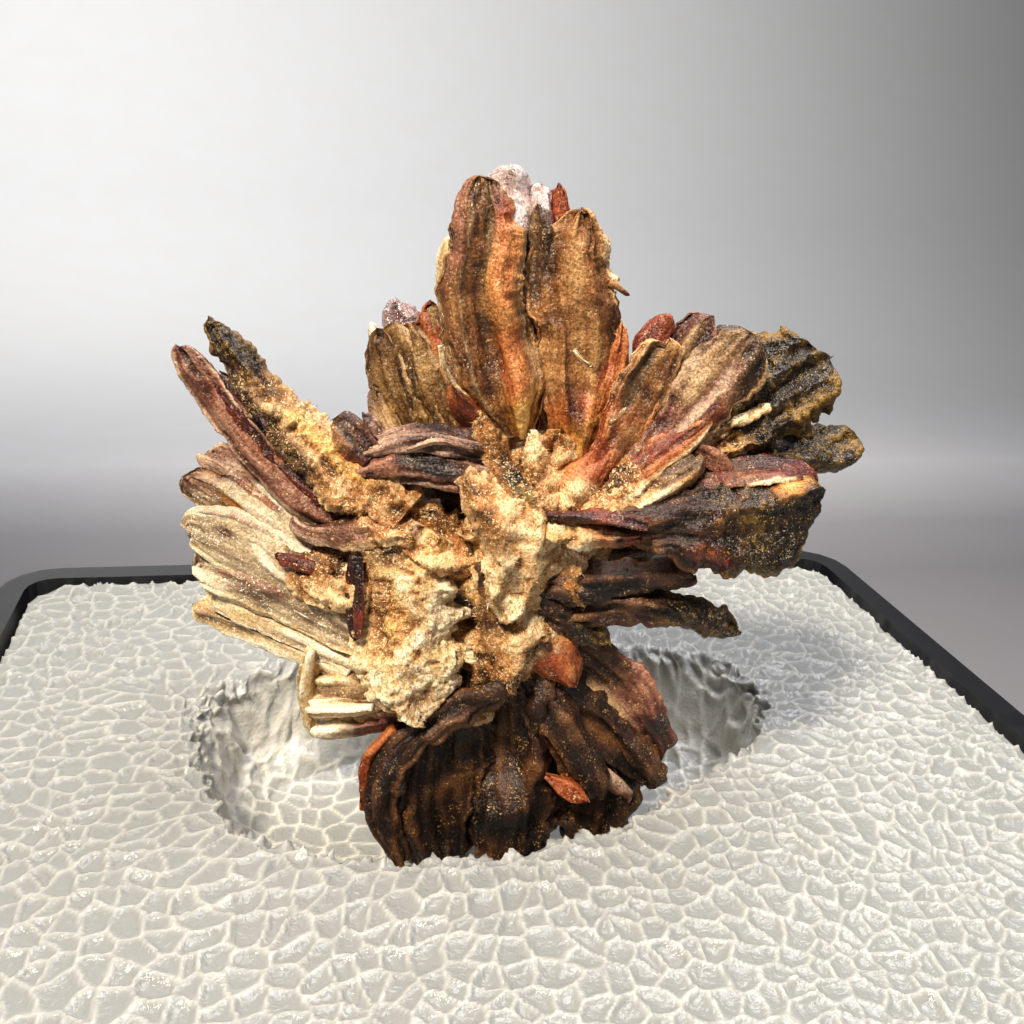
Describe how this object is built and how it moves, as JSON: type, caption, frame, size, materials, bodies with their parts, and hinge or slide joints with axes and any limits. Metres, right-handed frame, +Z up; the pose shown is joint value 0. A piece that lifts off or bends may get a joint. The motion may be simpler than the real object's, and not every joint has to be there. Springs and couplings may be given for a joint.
{
  "type": "goethite mineral specimen in a foam-lined box base",
  "caption": "Radiating cluster of brown goethite blades standing in a pit in white foam, held in a square black plastic thumbnail-box base.",
  "frame": {"origin": "centre of the tray's underside", "axes": "+Z up out of the tray, +Y towards the back of the tray, away from the cluster's display face"},
  "size_m": [0.032, 0.032, 0.0232],
  "materials": {
    "goethite": "goethite: satin to silky brown blades with bright cleavage flashes, ochre limonite crust, near-black druse and a little clear pinkish crystal",
    "clear_crystal": "clear to faintly pink crystal, rough lumps with sparkling faces",
    "foam": "white expanded foam, thin glossy cell walls, torn where the pit was dug",
    "tray_plastic": "black moulded polystyrene, semi-gloss"
  },
  "bodies": {
    "root": {"tray": "tray_plastic", "foam_insert": "foam", "goethite_cluster": "goethite"}
  },
  "joints": []
}
